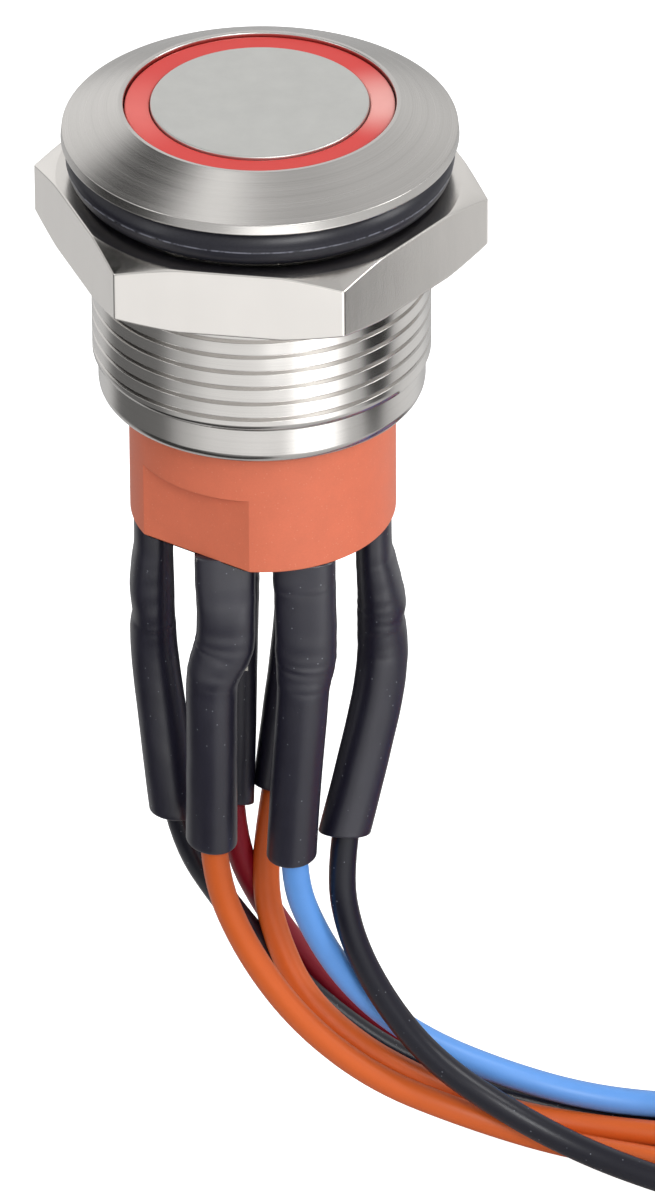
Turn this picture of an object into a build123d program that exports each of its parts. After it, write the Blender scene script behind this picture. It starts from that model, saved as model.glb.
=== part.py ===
from build123d import *
import os
from math import cos, hypot, pi, radians, sqrt, tan

# Vandal resistant push button with a ring of light, for a 19 mm panel hole, with six leads.
# Millimetres. +Z runs out of the panel towards the finger. The origin is on the button's axis, in the
# plane of the bezel's underside, where the switch seats on its panel. -Y is the side that faces a viewer.

# Bezel and barrel, one turned piece
bezel_cover = 0.27
bezel_rim_h = 0.62
bezel_h = 2.15
bezel_lip_w = 0.24
bezel_lip_round = 0.08
bezel_edge_round = 0.12
opening_d = 15.06
thread_d = 18.87
thread_run_out = 0.19
lip_len = 2.55
lip_land_d = 18.25
lip_round = 1.2
barrel_len = 15.9
undercut_d = 16.6
undercut_len = 2.95
rear_bore_d = 15.0
web_top = 3.2
web_bottom = 6.0

# Seal under the bezel, and the fixing nut
o_ring_section = 2.4
o_ring_gap = 0.03
nut_across_flats = 22.0
nut_h = 4.0
nut_turn = -9.0
nut_chamfer_land = 0.3
nut_chamfer_angle = 22.5
nut_thread_gap = 0.05
nut_bore_chamfer = 0.3

# Moving head
travel = 1.5
cap_d = 12.08
cap_top = 2.10
cap_t = 1.1
cap_edge = 0.12
cap_hub_d = 6.0
cap_hub_bottom = -0.8
ring_d = 14.9
ring_top = 1.94
ring_shelf_t = 0.9
ring_skirt_bottom = -0.35
ring_skirt_t = 1.25
part_gap = 0.03
spigot_d = 3.2
spigot_len = 1.3

# Plunger, its seal and its clips
land_d = 5.0
running_gap = 0.05
seal_section = 0.9
seal_depth = 0.8
stem_d = 4.0
clip_t = 0.46
clip_gap = 0.02
clip_d = 7.2
clip_groove_d = 3.4
clip_mouth = 1.8
spindle_d = 2.4
spindle_clip_d = 3.8
spindle_groove_d = 1.8
spindle_tip = 1.6

# Lamp board and chips
board_t = 0.6
board_d = 14.8
board_hole_d = 5.8
lamp_count = 6
lamp_size = (1.6, 0.8, 0.6)
lamp_pin_d = 0.6
lamp_bead_d = 1.36

# Moulded housing
housing_d = 14.92
cavity_d = 13.4
floor_t = 4.85
pocket_turn = -124.5
pocket_depth = 0.91
pocket_h = 4.65
pocket_wall = 0.25
spring_boss_h = 1.4
spring_boss_gap = 0.1

# Flat terminals
tab_w = 2.8
tab_t = 0.5
tab_len = 7.45
tab_hole_d = 1.2
tab_hole_inset = 1.7
tab_shoulder = 0.85
stalk_w = 1.5
side_terminal_x = 6.2
end_terminal_x = 2.3
end_terminal_y = 5.65
slot_gap = 0.02

# Contacts
arm_top = 9.0
arm_t = 0.5
rivet_d = 1.7
rivet_t = 0.4
disc_t = 0.3
disc_inset = 0.1
contact_gap = 0.03
bridge_w = 3.2
bridge_t = 0.35
side_contact_r = 4.0
end_contact_r = 4.7
contact_spring_h = 1.42
contact_spring_wire = 0.24
contact_spring_turns = 4
contact_spring_gap = 0.24

# Return spring
spring_wire = 0.4
spring_mean_d = 3.5
spring_turns = 6
spring_room = 6.19

# Heat-shrink sleeves
sleeve_w = 3.45
sleeve_t = 2.4
sleeve_d = 2.88
sleeve_flat_len = 6.55
wire_in_sleeve = 3.0

# Leads and the coil of the length that is put away
wire_d = 1.55
wire_bore_gap = 0.05
coil_x = 43.2
coil_y = 6.6
coil_r = 18.2
coil_in_r = 4.8
coil_bottom = -65.35
column_pitch = 1.62
row_pitch = 1.68
tie_w = 2.4
tie_gap = 0.2
tie_t = 0.35
tie_head = 2.6

# Sizes that follow from those above
bezel_r = undercut_d / 2 + o_ring_gap + o_ring_section + bezel_cover
opening_r = opening_d / 2
land_r = land_d / 2
plunger_bore_r = land_r + running_gap
web_r = rear_bore_d / 2
nut_top = -(o_ring_section + 2 * o_ring_gap)
nut_bottom = nut_top - nut_h
clip_top = -(web_bottom + clip_gap)
fixed_side_bottom = -(arm_top + arm_t + rivet_t)
side_bridge_top = fixed_side_bottom - contact_gap - disc_t
side_bridge_bottom = side_bridge_top - bridge_t
end_bridge_top = side_bridge_bottom - contact_spring_h
end_bridge_bottom = end_bridge_top - bridge_t
fixed_end_top = end_bridge_bottom - disc_t - travel - contact_gap
end_arm_top = fixed_end_top - rivet_t
spindle_clip_bottom = end_bridge_bottom - clip_t
spindle_bottom = spindle_clip_bottom - spindle_tip
floor_z = spindle_clip_bottom - spring_room
base_z = floor_z - floor_t
tab_bottom = base_z - tab_len
thread_end = barrel_len - lip_len
seal_z = -(web_top + seal_depth)
board_top = -web_top + board_t

# Each lead: the side where its terminal stands, how far below the terminal its sleeve turns towards the
# wire, its place in the coil (column, row), and the points of its route from inside the sleeve.
leads = {
    "front_left": ("end", (-1, -1), 0.7, (0, 1), [
        (-3.0, -4.9, -40.5), (-3.1, -4.4, -45.5), (-1.3, -4.7, -50.7), (1.8, -4.9, -55.7),
        (6.0, -4.6, -59.9), (11.2, -4.1, -62.8), (16.8, -4.6, -64.6), (22.6, -6.1, -64.8),
        (27.6, -8.7, -64.0), (33.0, -11.6, -62.8)]),
    "back_right": ("end", (1, 1), 0.7, (0, 2), [
        (1.1, 2.5, -40.9), (0.2, 0.3, -47.1), (0.8, 0.3, -53.2), (3.9, 0.3, -58.9),
        (8.7, -0.6, -63.2), (14.0, -2.3, -65.0), (18.8, -3.5, -64.9), (23.0, -4.4, -64.2),
        (27.6, -7.3, -62.4), (33.0, -11.6, -61.2)]),
    "front_right": ("end", (1, -1), 0.7, (1, 2), [
        (1.7, -5.4, -40.9), (1.4, -5.3, -45.3), (2.8, -4.5, -50.1), (5.2, -3.6, -54.7),
        (8.8, -2.8, -58.5), (13.3, -2.2, -61.2), (18.1, -2.1, -63.0), (23.0, -2.6, -63.4),
        (27.6, -4.9, -61.9), (31.4, -8.3, -61.2)]),
    "right": ("side", (1, 0), 1.7, (0, 0), [
        (5.0, -2.6, -41.0), (4.1, -4.2, -45.5), (4.7, -4.7, -49.9), (6.6, -4.7, -54.4),
        (9.4, -4.7, -58.6), (13.5, -5.1, -61.8), (18.1, -6.4, -63.9), (23.0, -8.6, -64.6),
        (27.8, -10.6, -64.8), (33.2, -11.7, -64.75)]),
    "left": ("side", (-1, 0), 1.7, (1, 1), [
        (-5.5, -0.9, -40.6), (-5.0, -1.4, -45.0), (-2.3, -2.5, -49.4), (2.0, -3.4, -54.7),
        (7.0, -3.1, -59.4), (12.4, -1.9, -62.7), (17.9, -1.3, -64.6), (23.0, -2.2, -65.0),
        (27.6, -5.2, -63.6), (31.4, -8.3, -62.9)]),
    "back_left": ("end", (-1, 1), 1.7, (1, 0), [
        (-2.0, 1.8, -41.4), (-2.2, -0.2, -46.0), (0.2, -1.5, -50.8), (3.7, -1.7, -55.9),
        (7.9, -1.1, -60.3), (12.5, -0.2, -63.4), (17.3, 0.4, -65.0), (22.8, -0.4, -65.0),
        (27.6, -3.1, -65.0), (31.2, -7.9, -64.7)]),
}
lamp_leads = ("front_right", "back_left")


def turned(points, rounds=()):
    # A profile of (radius, height) corners turned about Z. rounds holds (corner number, radius).
    face = make_face(Polyline(*[(r, 0, z) for r, z in points], close=True)).face()
    for number, radius in rounds:
        r, z = points[number]
        corner = face.vertices().sort_by_distance((r, 0, z))[0]
        face = face.fillet_2d(radius, [corner])
    return revolve(face, Axis.Z)


def disc(radius, low, high, x=0.0, y=0.0):
    return Pos(x, y, (low + high) / 2) * Cylinder(radius, high - low)


def block(size, centre):
    return Pos(*centre) * Box(*size)


def switch_body():
    # Cone from the rim to a narrow flat lip, thread cylinder, plain rounded lip at the rear, and a
    # web across the inside that guides the plunger.
    lip_r = opening_r + bezel_lip_w
    thread_r = thread_d / 2
    land = lip_land_d / 2
    shape = turned(
        [
            (opening_r, bezel_h), (lip_r, bezel_h), (bezel_r, bezel_rim_h), (bezel_r, 0),
            (undercut_d / 2, 0), (undercut_d / 2, -undercut_len),
            (thread_r, -undercut_len - (thread_r - undercut_d / 2)), (thread_r, -thread_end),
            (land, -thread_end - thread_run_out), (land, -barrel_len), (web_r, -barrel_len),
            (web_r, -web_bottom), (plunger_bore_r, -web_bottom), (plunger_bore_r, -web_top),
            (opening_r, -web_top),
        ],
        rounds=[(9, lip_round), (2, bezel_edge_round), (0, bezel_lip_round)],
    )
    for x, y in lamp_pin_places():
        shape -= disc(lamp_bead_d / 2, -web_bottom, -web_top, x, y)
    return shape


def lamp_pin_places():
    return [terminal_place(lead) for lead in lamp_leads]


def terminal_place(lead):
    kind, (sx, sy) = leads[lead][:2]
    if kind == "side":
        return sx * side_terminal_x, 0.0
    return sx * end_terminal_x, sy * end_terminal_y


def o_ring():
    centre_r = undercut_d / 2 + o_ring_gap + o_ring_section / 2
    return Pos(0, 0, -o_ring_gap - o_ring_section / 2) * Torus(centre_r, o_ring_section / 2)


def hex_nut():
    # Hexagon bar trimmed at both faces by a shallow cone, with a plain bore that clears the thread.
    corner_r = nut_across_flats / 2 / cos(pi / 6)
    bar = Pos(0, 0, nut_bottom) * extrude(
        RegularPolygon(corner_r, 6, major_radius=True, rotation=nut_turn), nut_h
    )
    chamfer_r = nut_across_flats / 2 + nut_chamfer_land
    outer_r = corner_r + nut_bore_chamfer
    drop = (outer_r - chamfer_r) * tan(radians(nut_chamfer_angle))
    bore_r = thread_d / 2 + nut_thread_gap
    mouth_r = bore_r + nut_bore_chamfer
    cones = turned(
        [
            (mouth_r, nut_top), (chamfer_r, nut_top), (outer_r, nut_top - drop),
            (outer_r, nut_bottom + drop), (chamfer_r, nut_bottom), (mouth_r, nut_bottom),
            (bore_r, nut_bottom + nut_bore_chamfer), (bore_r, nut_top - nut_bore_chamfer),
        ]
    )
    return bar & cones


def actuator_cap():
    # Disc with a hub below it, whose blind hole takes the plunger's spigot.
    cap_r = cap_d / 2
    under = cap_top - cap_t
    shape = turned(
        [
            (0, cap_top), (cap_r - cap_edge, cap_top), (cap_r, cap_top - cap_edge), (cap_r, under),
            (cap_hub_d / 2, under), (cap_hub_d / 2, cap_hub_bottom), (0, cap_hub_bottom),
        ]
    )
    return shape - disc(spigot_d / 2, cap_hub_bottom, cap_hub_bottom + spigot_len + part_gap)


def light_ring():
    # Translucent ring with a shelf that carries the cap and a skirt that collects the lamps' light.
    outer = ring_d / 2
    inner = cap_d / 2 + part_gap
    shelf_top = cap_top - cap_t
    shelf_bottom = shelf_top - ring_shelf_t
    return turned(
        [
            (inner, ring_top), (outer, ring_top), (outer, ring_skirt_bottom),
            (outer - ring_skirt_t, ring_skirt_bottom), (outer - ring_skirt_t, shelf_bottom),
            (cap_hub_d / 2 + part_gap, shelf_bottom), (cap_hub_d / 2 + part_gap, shelf_top),
            (inner, shelf_top),
        ],
        rounds=[(1, part_gap)],
    )


def plunger():
    # Spigot, sealed land in the web's bore, clip groove, stem, and a thin spindle for the bridges.
    spigot_r = spigot_d / 2 - part_gap
    seal_low = seal_z - seal_section / 2
    seal_high = seal_z + seal_section / 2
    groove_r = land_r - seal_section + part_gap
    clip_low = clip_top - clip_t
    spindle_r = spindle_d / 2
    return turned(
        [
            (0, cap_hub_bottom + spigot_len), (spigot_r, cap_hub_bottom + spigot_len),
            (spigot_r, cap_hub_bottom), (land_r, cap_hub_bottom), (land_r, seal_high),
            (groove_r, seal_high), (groove_r, seal_low), (land_r, seal_low), (land_r, clip_top),
            (clip_groove_d / 2, clip_top), (clip_groove_d / 2, clip_low), (stem_d / 2, clip_low),
            (stem_d / 2, side_bridge_top), (spindle_r, side_bridge_top),
            (spindle_r, end_bridge_bottom), (spindle_groove_d / 2, end_bridge_bottom),
            (spindle_groove_d / 2, spindle_clip_bottom), (spindle_r, spindle_clip_bottom),
            (spindle_r, spindle_bottom), (0, spindle_bottom),
        ]
    )


def plunger_seal():
    # Small O-ring in the land's groove. Its outside stays clear of the bore by the running gap.
    centre_r = land_r - seal_section / 2 + part_gap
    return Pos(0, 0, seal_z) * Torus(centre_r, seal_section / 2 - part_gap / 2)


def snap_clip(outer_d, groove_d, high):
    # Flat open washer that snaps into a groove.
    ring = disc(outer_d / 2, high - clip_t, high) - disc(groove_d / 2 + part_gap, high - clip_t, high)
    mouth = block((outer_d, clip_mouth, clip_t), (outer_d / 2, 0, high - clip_t / 2))
    return ring - mouth


def lamp_board():
    board = disc(board_d / 2, -web_top, board_top) - disc(board_hole_d / 2, -web_top, board_top)
    for x, y in lamp_pin_places():
        board -= disc(lamp_pin_d / 2 + part_gap, -web_top, board_top, x, y)
    return board


def lamp_chips():
    # Chips sit under the light ring's skirt, as far as they can be from the two pins.
    radius = ring_d / 2 - ring_skirt_t / 2
    x, y = lamp_pin_places()[0]
    first = Vector(1, 0, 0).get_signed_angle(Vector(x, y, 0), Vector(0, 0, 1)) + 180 / lamp_count
    chips = []
    for number in range(lamp_count):
        turn = first + 360 * number / lamp_count
        chip = Pos(0, radius, board_top + lamp_size[2] / 2) * Box(*lamp_size)
        chips.append(Rot(0, 0, turn - 90) * chip)
    return chips


def lamp_beads():
    # Insulating beads that seal the lamp pins where they pass through the web.
    beads = []
    for x, y in lamp_pin_places():
        bead = disc(lamp_bead_d / 2, -web_bottom, -web_top, x, y)
        beads.append(bead - disc(lamp_pin_d / 2 + part_gap, -web_bottom, -web_top, x, y))
    return beads


def tab_box(lead, width, low, high, gap=0.0):
    # Upright flat bar at a lead's terminal. Side terminals are flat across X, the others across Y.
    x, y = terminal_place(lead)
    size = (width + 2 * gap, tab_t + 2 * gap, high - low)
    if leads[lead][0] == "side":
        size = (size[1], size[0], size[2])
    return block(size, (x, y, (low + high) / 2))


def switch_housing():
    # Deep cup, open towards the bezel, with a thick floor that holds the terminals, a boss for the
    # return spring and a flat pocket on the outside at its lower edge.
    top = clip_top
    outer = housing_d / 2
    shape = turned(
        [
            (0, base_z), (outer, base_z), (outer, top), (cavity_d / 2, top),
            (cavity_d / 2, floor_z), (0, floor_z),
        ]
    )
    shape += disc((spring_mean_d - spring_wire) / 2 - spring_boss_gap, floor_z, floor_z + spring_boss_h)
    for lead in leads:
        slot = tab_box(lead, tab_w, base_z, base_z + tab_shoulder, slot_gap)
        slot += tab_box(lead, stalk_w, base_z, floor_z, slot_gap)
        shape -= slot - pocket_cut(pocket_wall)
    return shape - pocket_cut(0)


def pocket_cut(wall):
    # What lies outside the pocket's flat face, or outside a plane that far behind it.
    outer = housing_d / 2
    depth = outer - pocket_depth - wall
    cutter = block((outer, 2 * outer, pocket_h), (depth + outer / 2, 0, base_z + pocket_h / 2))
    return Rot(0, 0, pocket_turn) * cutter


def terminal(lead):
    # Solder tab below the floor, a narrower stalk through it, and inside either a contact arm or a
    # round pin that runs up to the lamp board. The corner that would break into the pocket is trimmed.
    kind, (sx, sy) = leads[lead][:2]
    x, y = terminal_place(lead)
    shape = tab_box(lead, tab_w, tab_bottom, base_z + tab_shoulder)
    hole = Pos(x, y, tab_bottom + tab_hole_inset) * Rot(90, 0, 90 if kind == "side" else 0)
    shape -= hole * Cylinder(tab_hole_d / 2, 2 * tab_t)
    if lead in lamp_leads:
        shape += tab_box(lead, stalk_w, base_z, floor_z + tab_t)
        shape += disc(lamp_pin_d / 2, floor_z, board_top + part_gap, x, y)
    elif kind == "side":
        shape += tab_box(lead, stalk_w, base_z, -arm_top)
        inner = side_contact_r - rivet_d / 2
        length = side_terminal_x + tab_t / 2 - inner
        centre = (sx * (inner + length / 2), 0, -arm_top - arm_t / 2)
        shape += block((length, stalk_w, arm_t), centre)
    else:
        shape += tab_box(lead, stalk_w, base_z, end_arm_top)
        contact_y = end_contact_place()[1]
        inner = contact_y - rivet_d / 2
        length = end_terminal_y + tab_t / 2 - inner
        centre = (x, sy * (inner + length / 2), end_arm_top - arm_t / 2)
        shape += block((stalk_w, length, arm_t), centre)
    return shape - pocket_cut(pocket_wall + slot_gap)


def end_contact_place():
    # Where the lower bridge's contacts stand, on the line that joins the two end terminals.
    reach = end_contact_r / hypot(end_terminal_x, end_terminal_y)
    return end_terminal_x * reach, end_terminal_y * reach


def fixed_contacts():
    x, y = end_contact_place()
    radius = rivet_d / 2
    rivets = [
        disc(radius, fixed_side_bottom, fixed_side_bottom + rivet_t, s * side_contact_r, 0)
        for s in (-1, 1)
    ]
    rivets += [disc(radius, end_arm_top, fixed_end_top, s * x, s * y) for s in (-1, 1)]
    return rivets


def bridge_contacts():
    x, y = end_contact_place()
    radius = rivet_d / 2 - disc_inset
    discs = [
        disc(radius, side_bridge_top, side_bridge_top + disc_t, s * side_contact_r, 0)
        for s in (-1, 1)
    ]
    low = end_bridge_bottom - disc_t
    discs += [disc(radius, low, end_bridge_bottom, s * x, s * y) for s in (-1, 1)]
    return discs


def bridge(reach, high, turn):
    # Contact bar with round ends and a hole for the spindle.
    face = SlotCenterToCenter(2 * reach, bridge_w) - Circle(spindle_d / 2 + part_gap)
    return Pos(0, 0, high - bridge_t) * extrude(Rot(0, 0, turn) * face, bridge_t)


def coil_spring(mean_d, wire, turns, low, high):
    # Round wire on a helix whose ends stay within the two seats.
    height = high - low - wire
    path = Helix(height / turns, height, mean_d / 2)
    start = path @ 0
    section = Plane(start, z_dir=path % 0) * Circle(wire / 2)
    return Pos(0, 0, low + wire / 2) * sweep(section, path, is_frenet=True)


def unit(a, b):
    return (Vector(*b) - Vector(*a)).normalized()


def lead_line(lead):
    # The straight part inside the sleeve: its top, where the sleeve turns, its bottom at the sleeve's
    # end, and its direction, which is that of the route's first run.
    turn_z, route = tab_bottom - leads[lead][2], leads[lead][4]
    first = Vector(*route[0])
    way = unit(route[0], route[1])
    top = first + way * ((turn_z - first.Z) / way.Z)
    return top, first + way * wire_in_sleeve, way


def sleeve(lead):
    # Oval over the flat terminal, then a short blend to a round tube that follows the wire.
    x, y = terminal_place(lead)
    top, end, way = lead_line(lead)
    flat_x = (0, 1, 0) if leads[lead][0] == "side" else (1, 0, 0)
    high = base_z - slot_gap
    oval = Ellipse(sleeve_w / 2, sleeve_t / 2)
    flat_end = base_z - sleeve_flat_len
    upper = Plane((x, y, flat_end), x_dir=flat_x, z_dir=(0, 0, 1)) * oval
    shape = extrude(upper, high - flat_end)
    start = top + way * (wire_d / 2)
    round_plane = Plane(start, x_dir=Vector(*flat_x) - way * way.dot(Vector(*flat_x)), z_dir=-way)
    lower = round_plane * Circle(sleeve_d / 2)
    shape += loft([upper, lower], ruled=True)
    shape += extrude(lower, -(end - start).length)
    shape -= tab_box(lead, tab_w, tab_bottom - slot_gap, high, slot_gap)
    bore = Plane(top, z_dir=way) * Circle(wire_d / 2 + wire_bore_gap)
    return shape - extrude(bore, (end - top).length)


def full_route(lead):
    # The route's own points, and one more, a wire's width inside the coil's outer face.
    (column, row), route = leads[lead][3:]
    turn_r = coil_r - column * column_pitch
    chord = sqrt((coil_r + wire_d / 2) ** 2 - turn_r**2)
    return route + [(coil_x - chord + wire_d, coil_y - turn_r, coil_bottom + wire_d / 2 + row * row_pitch)]


def corner_radii(points):
    # Each arc is as large as its two runs allow.
    radii = []
    for a, b, c in zip(points, points[1:], points[2:]):
        before = Vector(*b) - Vector(*a)
        after = Vector(*c) - Vector(*b)
        half_turn = radians(before.get_angle(after)) / 2
        radii.append(0.45 * min(before.length, after.length) / tan(half_turn))
    return radii


def wire(lead):
    # Straight tail inside the sleeve, then the tube along the route.
    top, end, way = lead_line(lead)
    points = full_route(lead)
    radii = corner_radii(points)
    path = FilletPolyline(*points, radius=radii)
    section = Plane(points[0], z_dir=way) * Circle(wire_d / 2)
    tube = sweep(section, path)
    section_area = pi * wire_d**2 / 4
    print(f"wire {lead}: radii {[round(r, 1) for r in radii]}, length {path.length:.1f},", end=" ")
    print(f"volume over section times length {tube.volume / (section_area * path.length):.4f}")
    tail = extrude(Plane(top, z_dir=way) * Circle(wire_d / 2), (Vector(*points[0]) - top).length)
    return tail + tube


def lead_coil():
    # Outer form of the neat round coil of all six leads.
    high = coil_bottom + wire_d + 2 * row_pitch
    outer = coil_r + wire_d / 2
    corners = [(coil_in_r, coil_bottom), (outer, coil_bottom), (outer, high), (coil_in_r, high)]
    ring = turned(corners, rounds=[(number, wire_d / 2) for number in range(4)])
    return Pos(coil_x, coil_y, 0) * ring


def coil_tie():
    # Flat strap round the coil's section, with its locking head on top.
    low = coil_bottom - part_gap
    high = coil_bottom + wire_d + 2 * row_pitch + part_gap
    inner = coil_in_r - tie_gap
    outer = coil_r + wire_d / 2 + part_gap
    middle = (coil_x + (inner + outer) / 2, coil_y, (low + high) / 2)
    strap = block((outer - inner + 2 * tie_t, tie_w, high - low + 2 * tie_t), middle)
    strap -= block((outer - inner, tie_w, high - low), middle)
    head_z = high + tie_t / 2 + tie_head / 4
    head = block((tie_head, tie_w + 2 * tie_t, tie_head / 2), (middle[0], coil_y, head_z))
    return strap + head


pieces = {
    "switch_body": switch_body(),
    "o_ring": o_ring(),
    "hex_nut": hex_nut(),
    "actuator_cap": actuator_cap(),
    "light_ring": light_ring(),
    "plunger": plunger(),
    "plunger_seal": plunger_seal(),
    "retaining_clip": snap_clip(clip_d, clip_groove_d, clip_top),
    "spindle_clip": snap_clip(spindle_clip_d, spindle_groove_d, end_bridge_bottom),
    "lamp_board": lamp_board(),
    "lamp_chips": lamp_chips(),
    "lamp_pin_beads": lamp_beads(),
    "switch_housing": switch_housing(),
    "fixed_contacts": fixed_contacts(),
    "bridge_contacts": bridge_contacts(),
    "closed_contact_bridge": bridge(side_contact_r, side_bridge_top, 0),
    "open_contact_bridge": bridge(
        end_contact_r,
        end_bridge_top,
        Vector(1, 0, 0).get_signed_angle(Vector(*end_contact_place(), 0), Vector(0, 0, 1)),
    ),
    "contact_spring": coil_spring(
        spindle_d + 2 * contact_spring_gap + contact_spring_wire, contact_spring_wire, contact_spring_turns,
        end_bridge_top + part_gap, side_bridge_bottom - part_gap,
    ),
    "return_spring": coil_spring(
        spring_mean_d, spring_wire, spring_turns,
        floor_z + part_gap, spindle_clip_bottom - part_gap,
    ),
    "lead_coil": lead_coil(),
    "coil_tie": coil_tie(),
}
for lead in leads:
    pieces["terminal_" + lead] = terminal(lead)
    pieces["sleeve_" + lead] = sleeve(lead)
    pieces["wire_" + lead] = wire(lead)

os.makedirs("parts", exist_ok=True)
for name, shape in pieces.items():
    if isinstance(shape, list):
        shape = Compound(children=[solid.solid() for solid in shape])
    export_step(shape, "parts/" + name + ".step")
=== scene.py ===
import bpy
import numpy as np
from mathutils import Matrix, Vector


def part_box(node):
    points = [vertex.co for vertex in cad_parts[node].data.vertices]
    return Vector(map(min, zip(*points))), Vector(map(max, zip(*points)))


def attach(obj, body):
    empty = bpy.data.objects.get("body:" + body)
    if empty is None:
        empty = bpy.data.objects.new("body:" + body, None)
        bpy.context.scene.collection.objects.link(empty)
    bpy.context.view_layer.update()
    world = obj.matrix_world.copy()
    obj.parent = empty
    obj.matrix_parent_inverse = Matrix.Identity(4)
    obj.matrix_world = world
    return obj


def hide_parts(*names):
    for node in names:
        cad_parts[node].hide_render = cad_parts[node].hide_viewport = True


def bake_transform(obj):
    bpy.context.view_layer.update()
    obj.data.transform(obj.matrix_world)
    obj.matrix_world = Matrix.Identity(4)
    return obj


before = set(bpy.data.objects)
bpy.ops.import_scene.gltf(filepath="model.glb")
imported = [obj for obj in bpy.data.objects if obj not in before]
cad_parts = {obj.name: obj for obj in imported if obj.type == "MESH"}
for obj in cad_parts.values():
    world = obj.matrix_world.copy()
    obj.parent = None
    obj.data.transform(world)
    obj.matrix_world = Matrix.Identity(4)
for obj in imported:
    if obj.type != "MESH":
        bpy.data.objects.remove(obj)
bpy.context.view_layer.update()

# Vandal resistant push button with a red light ring and six leads, seen a little from above.
# Sizes here are millimetres, from the solids where they have them; meshes are written in metres.
mm = 0.001
print("solids loaded:", len(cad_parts))


def span(node):
    # Lowest and highest corner of a solid, in millimetres.
    low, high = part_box(node)
    return np.array(low) / mm, np.array(high) / mm


def roundSpan(node):
    # Bottom and top of a solid, and its radius if it is round about the axis.
    low, high = span(node)
    return low[2], high[2], high[0]


barrelBottom, bezelTop, bezelRadius = roundSpan("switch_body")
capBottom, capTop, capRadius = roundSpan("actuator_cap")
ringBottom, ringTop, ringRadius = roundSpan("light_ring")
baseBottom, baseTop, baseRadius = roundSpan("switch_housing")
(nutBottom, nutTop), (coilBottom, coilTop) = roundSpan("hex_nut")[:2], roundSpan("lead_coil")[:2]
(tieLeft, _, _), (tieRight, _, _) = span("coil_tie")

# Camera, at the photograph's place. The lens is long, so the view is close to parallel.
camera = {
    "elevation": 32.407,
    "roll": 0.316,
    "distance": 686.387,
    "shiftRight": -3.714,
    "shiftUp": 25.6265,
    "lens": 374.09,
    "sensor": 36.0,
}


def stand(obj, right, up, back, place):
    # Puts a camera or a light at its place in millimetres, with its own axes along three directions.
    axes = np.eye(4)
    axes[:3] = np.stack([right, up, back, place * mm], axis=1)
    obj.matrix_world = Matrix(axes.tolist())
    bpy.context.collection.objects.link(obj)


def makeCamera(c):
    # Looks along (0, cos e, -sin e), then turned by the roll about that line.
    e, roll = np.radians(c["elevation"]), np.radians(c["roll"])
    right = np.array([1.0, 0.0, 0.0])
    forward = np.array([0.0, np.cos(e), -np.sin(e)])
    up = np.array([0.0, np.sin(e), np.cos(e)])
    x = -c["shiftRight"] * np.cos(roll) - c["shiftUp"] * np.sin(roll)
    y = c["shiftRight"] * np.sin(roll) - c["shiftUp"] * np.cos(roll)
    place = x * right + y * up - c["distance"] * forward
    rolledRight = right * np.cos(roll) - up * np.sin(roll)
    rolledUp = right * np.sin(roll) + up * np.cos(roll)
    data = bpy.data.cameras.new("viewCamera")
    data.sensor_fit = "VERTICAL"
    data.sensor_height = c["sensor"]
    data.lens = c["lens"]
    data.clip_start = 0.01
    data.clip_end = 20
    obj = bpy.data.objects.new("viewCamera", data)
    stand(obj, rolledRight, rolledUp, -forward, place)
    bpy.context.scene.camera = obj


makeCamera(camera)

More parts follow.
